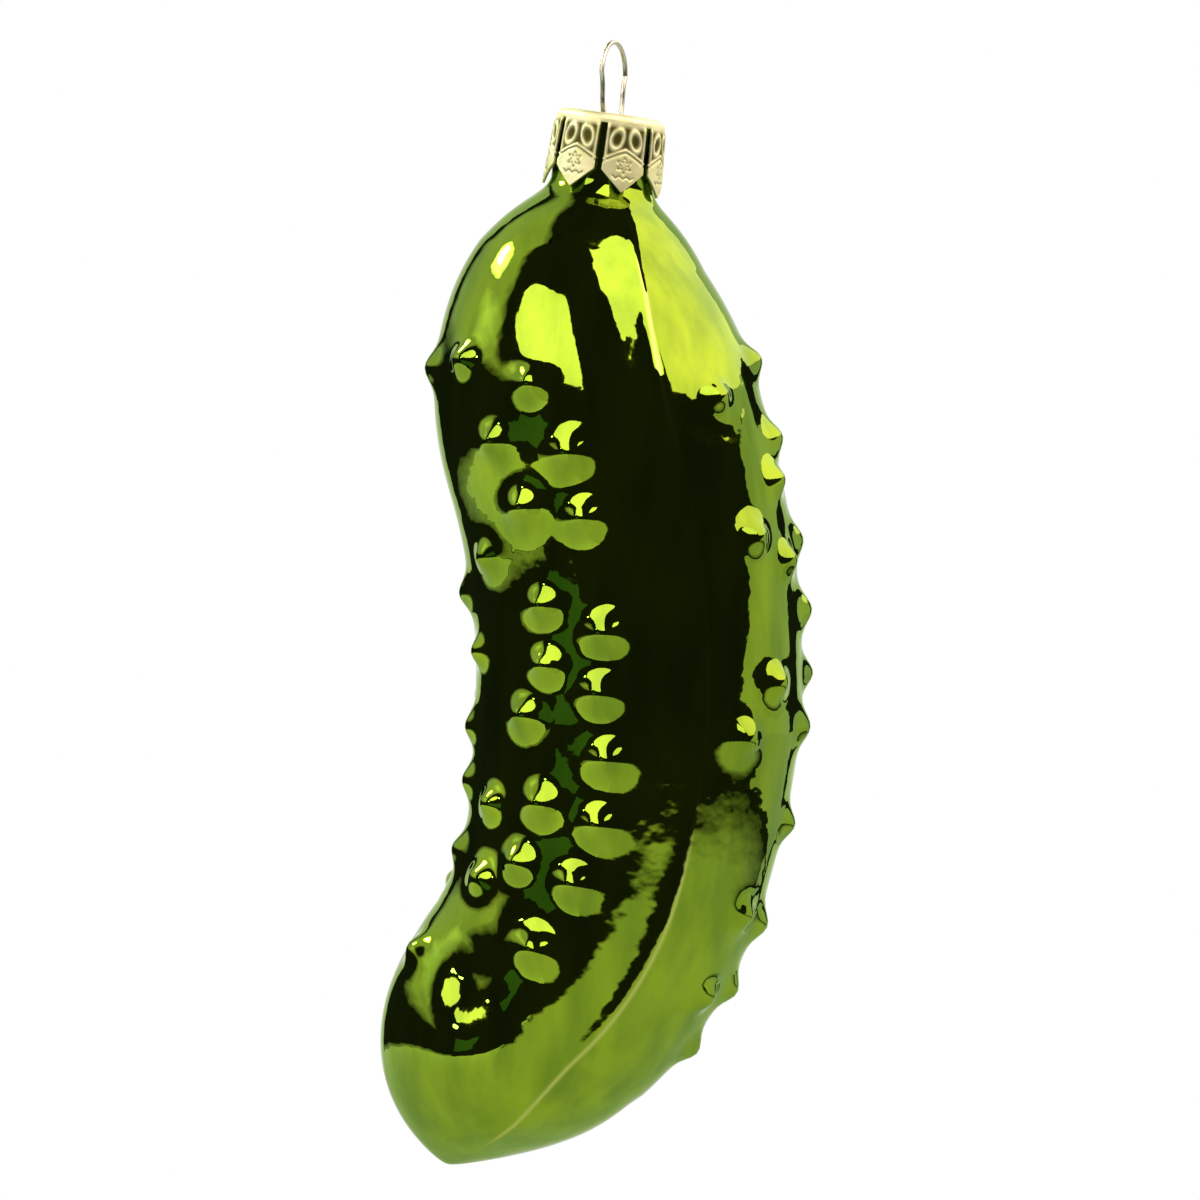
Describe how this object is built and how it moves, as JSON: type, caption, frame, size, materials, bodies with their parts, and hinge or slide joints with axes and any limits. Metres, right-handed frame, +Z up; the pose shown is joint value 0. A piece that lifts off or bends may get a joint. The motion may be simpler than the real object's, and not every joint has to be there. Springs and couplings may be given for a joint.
{
  "type": "pickle ornament",
  "caption": "Bent blown-glass pickle ornament with warty flanks, a gold crown cap and a wire loop to hang it by.",
  "frame": {"origin": "the hanging point, on the inside of the wire loop's top", "axes": "+Z up as the ornament hangs free, +X towards the bulging side of the bend, -Y towards the front"},
  "size_m": [0.0444, 0.037, 0.1177],
  "materials": {
    "green_silvered_glass": "clear blown glass silvered inside, with a transparent green lacquer, mirror bright",
    "gold_cap_metal": "bright gold-toned stamped sheet",
    "hanger_spring_wire": "bright gold-washed spring wire"
  },
  "bodies": {
    "hanger": {"hanger_wire": "hanger_spring_wire"},
    "cap": {"crown_cap": "gold_cap_metal"},
    "glass": {"glass_body": "green_silvered_glass"}
  },
  "joints": [
    {"name": "hanger_tilt", "type": "hinge", "parent": "hanger", "child": "cap", "pos_m": [-0.00012, -0.00029, -0.00739], "axis": [0.3722, 0.9272, -0.0424], "range_deg": [-18, 6]},
    {"name": "cap_pull", "type": "slide", "parent": "cap", "child": "glass", "axis": [-0.1132, 0, -0.9936], "range_m": [0, 0.014]}
  ]
}
